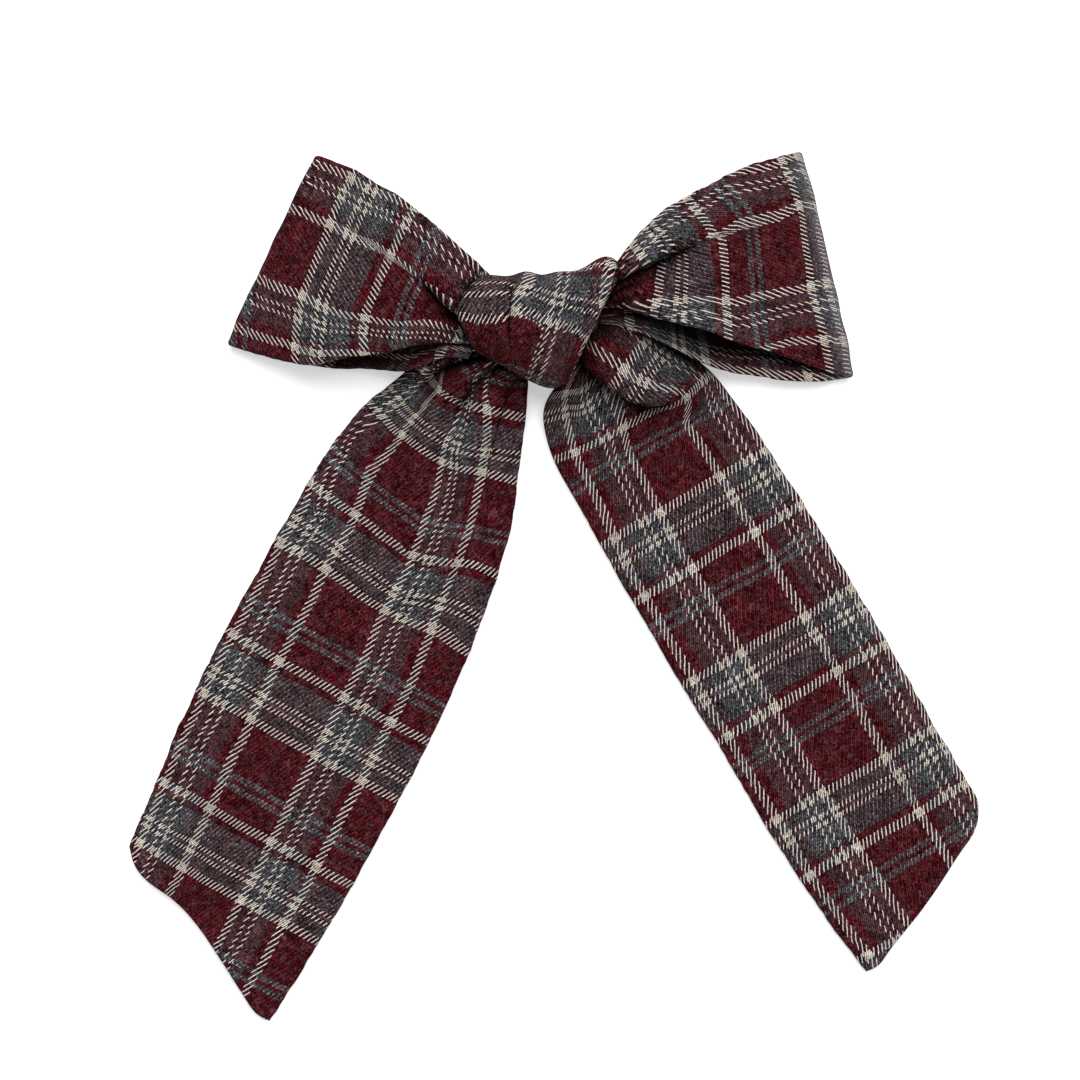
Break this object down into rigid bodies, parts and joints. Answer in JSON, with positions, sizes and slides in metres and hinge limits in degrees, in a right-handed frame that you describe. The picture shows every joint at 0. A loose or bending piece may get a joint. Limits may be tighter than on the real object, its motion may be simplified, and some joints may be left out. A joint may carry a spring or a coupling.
{
  "type": "hair bow",
  "caption": "Hand-tied plaid flannel hair bow with two open loops, a gathered knot and long slant-cut tails, on a sprung alligator clip.",
  "frame": {"origin": "the middle of the clip's flat underside, under the knot, on the plane that the bow lies on", "axes": "+Z out through the front of the bow, +Y to the top of the bow, +X to the right as seen from the front"},
  "size_m": [0.2358, 0.2428, 0.0291],
  "materials": {
    "plaid_flannel": "brushed yarn-dyed twill in red, grey and white plaid",
    "felt": "pressed felt",
    "thread": "twisted sewing thread",
    "ribbon": "ribbed grosgrain",
    "glue": "set hot-melt glue",
    "steel": "bright nickel-plated pressed steel",
    "spring_wire": "drawn music wire"
  },
  "bodies": {
    "bow": {"knot_wrap": "plaid_flannel", "knot_core": "plaid_flannel", "left_loop": "plaid_flannel", "right_loop": "plaid_flannel", "left_tail_root": "plaid_flannel", "right_tail_root": "plaid_flannel", "felt_backing": "felt", "felt_stitches": "thread", "glue_bed": "glue", "ribbon_lining": "ribbon", "clip_upper_jaw": "steel", "clip_hinge_pin": "steel", "clip_spring": "spring_wire"},
    "lower_jaw": {"clip_lower_jaw": "steel"},
    "left_tail": {"left_tail": "plaid_flannel"},
    "right_tail": {"right_tail": "plaid_flannel"}
  },
  "joints": [
    {"name": "clip_jaw", "type": "hinge", "parent": "bow", "child": "lower_jaw", "pos_m": [-0.014, 0, 0.00305], "axis": [0, 1, 0], "range_deg": [0, 30], "stiffness_Nm_per_rad": 0.15, "springref_deg": -40.11, "deforming": ["clip_spring"]},
    {"name": "left_tail_lift", "type": "hinge", "parent": "bow", "child": "left_tail", "pos_m": [-0.016, -0.0284, 0.002], "axis": [-0.8746, 0.4848, 0], "range_deg": [0, 60]},
    {"name": "right_tail_lift", "type": "hinge", "parent": "bow", "child": "right_tail", "pos_m": [0.0086, -0.043, 0.0015], "axis": [-0.8634, -0.5045, 0], "range_deg": [0, 60]}
  ]
}
